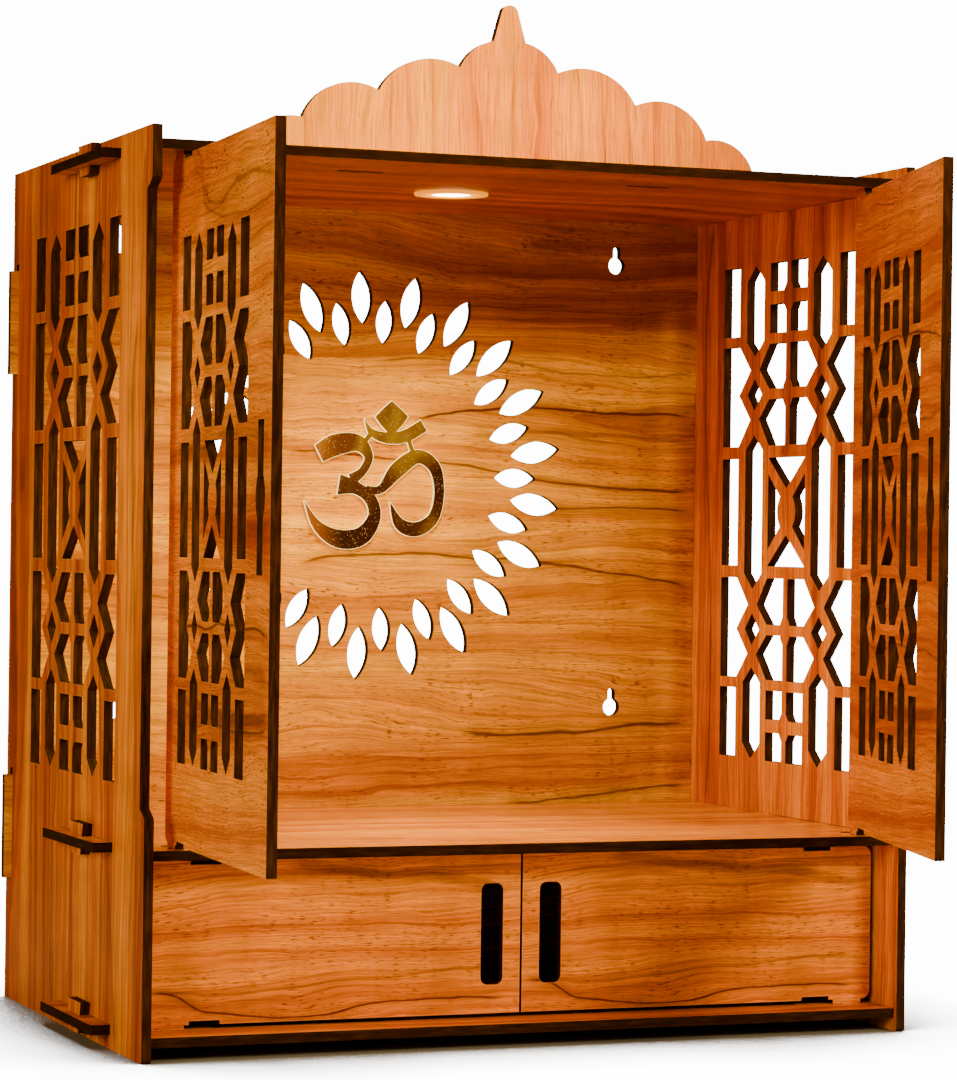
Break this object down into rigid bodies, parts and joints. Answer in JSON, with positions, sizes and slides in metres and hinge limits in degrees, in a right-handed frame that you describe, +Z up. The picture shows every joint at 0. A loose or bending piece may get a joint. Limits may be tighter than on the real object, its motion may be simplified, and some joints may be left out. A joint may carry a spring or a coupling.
{
  "type": "household altar cabinet",
  "caption": "Household altar cabinet with lattice doors over an altar shelf, small doors below, a scalloped crown, leaf cut-outs and an Om emblem.",
  "frame": {"origin": "floor level under the middle of the bounding box, with the upper doors open as in the picture", "axes": "+Z up, front faces -Y, +X to the right seen from the front"},
  "size_m": [0.4798, 0.4842, 0.5867],
  "materials": {
    "upright_veneer": "satin teak veneer with upright grain and dark laser-cut edges",
    "level_veneer": "satin teak veneer with level grain and dark laser-cut edges",
    "pale_veneer": "paler satin veneer",
    "gold_mirror_acrylic": "gold mirror acrylic",
    "bezel_metal": "satin metal",
    "lens": "frosted"
  },
  "bodies": {
    "cabinet": {"side_panel_left": "upright_veneer", "side_panel_right": "upright_veneer", "top_board": "level_veneer", "altar_shelf": "level_veneer", "bottom_board": "level_veneer", "back_panel": "level_veneer", "crown": "pale_veneer", "om_emblem": "gold_mirror_acrylic", "light_bezel": "bezel_metal", "light_lens": "lens", "wedge_top_left": "upright_veneer", "wedge_top_right": "upright_veneer", "wedge_middle_left": "upright_veneer", "wedge_middle_right": "upright_veneer", "wedge_bottom_left": "upright_veneer", "wedge_bottom_right": "upright_veneer"},
    "left_door": {"door_left": "level_veneer"},
    "right_door": {"door_right": "level_veneer"},
    "left_lower_door": {"lower_door_left": "level_veneer"},
    "right_lower_door": {"lower_door_right": "level_veneer"}
  },
  "joints": [
    {"name": "left_door_hinge", "type": "hinge", "parent": "cabinet", "child": "left_door", "pos_m": [-0.206, -0.03788, 0.3002], "axis": [0, 0, -1], "range_deg": [-93.8, 32]},
    {"name": "right_door_hinge", "type": "hinge", "parent": "cabinet", "child": "right_door", "pos_m": [0.206, -0.03788, 0.3002], "axis": [0, 0, 1], "range_deg": [-74.3, 50]},
    {"name": "left_lower_door_hinge", "type": "hinge", "parent": "cabinet", "child": "left_lower_door", "pos_m": [-0.206, -0.02388, 0.0604], "axis": [0, 0, -1], "range_deg": [0, 110]},
    {"name": "right_lower_door_hinge", "type": "hinge", "parent": "cabinet", "child": "right_lower_door", "pos_m": [0.206, -0.02388, 0.0604], "axis": [0, 0, 1], "range_deg": [0, 110]}
  ]
}
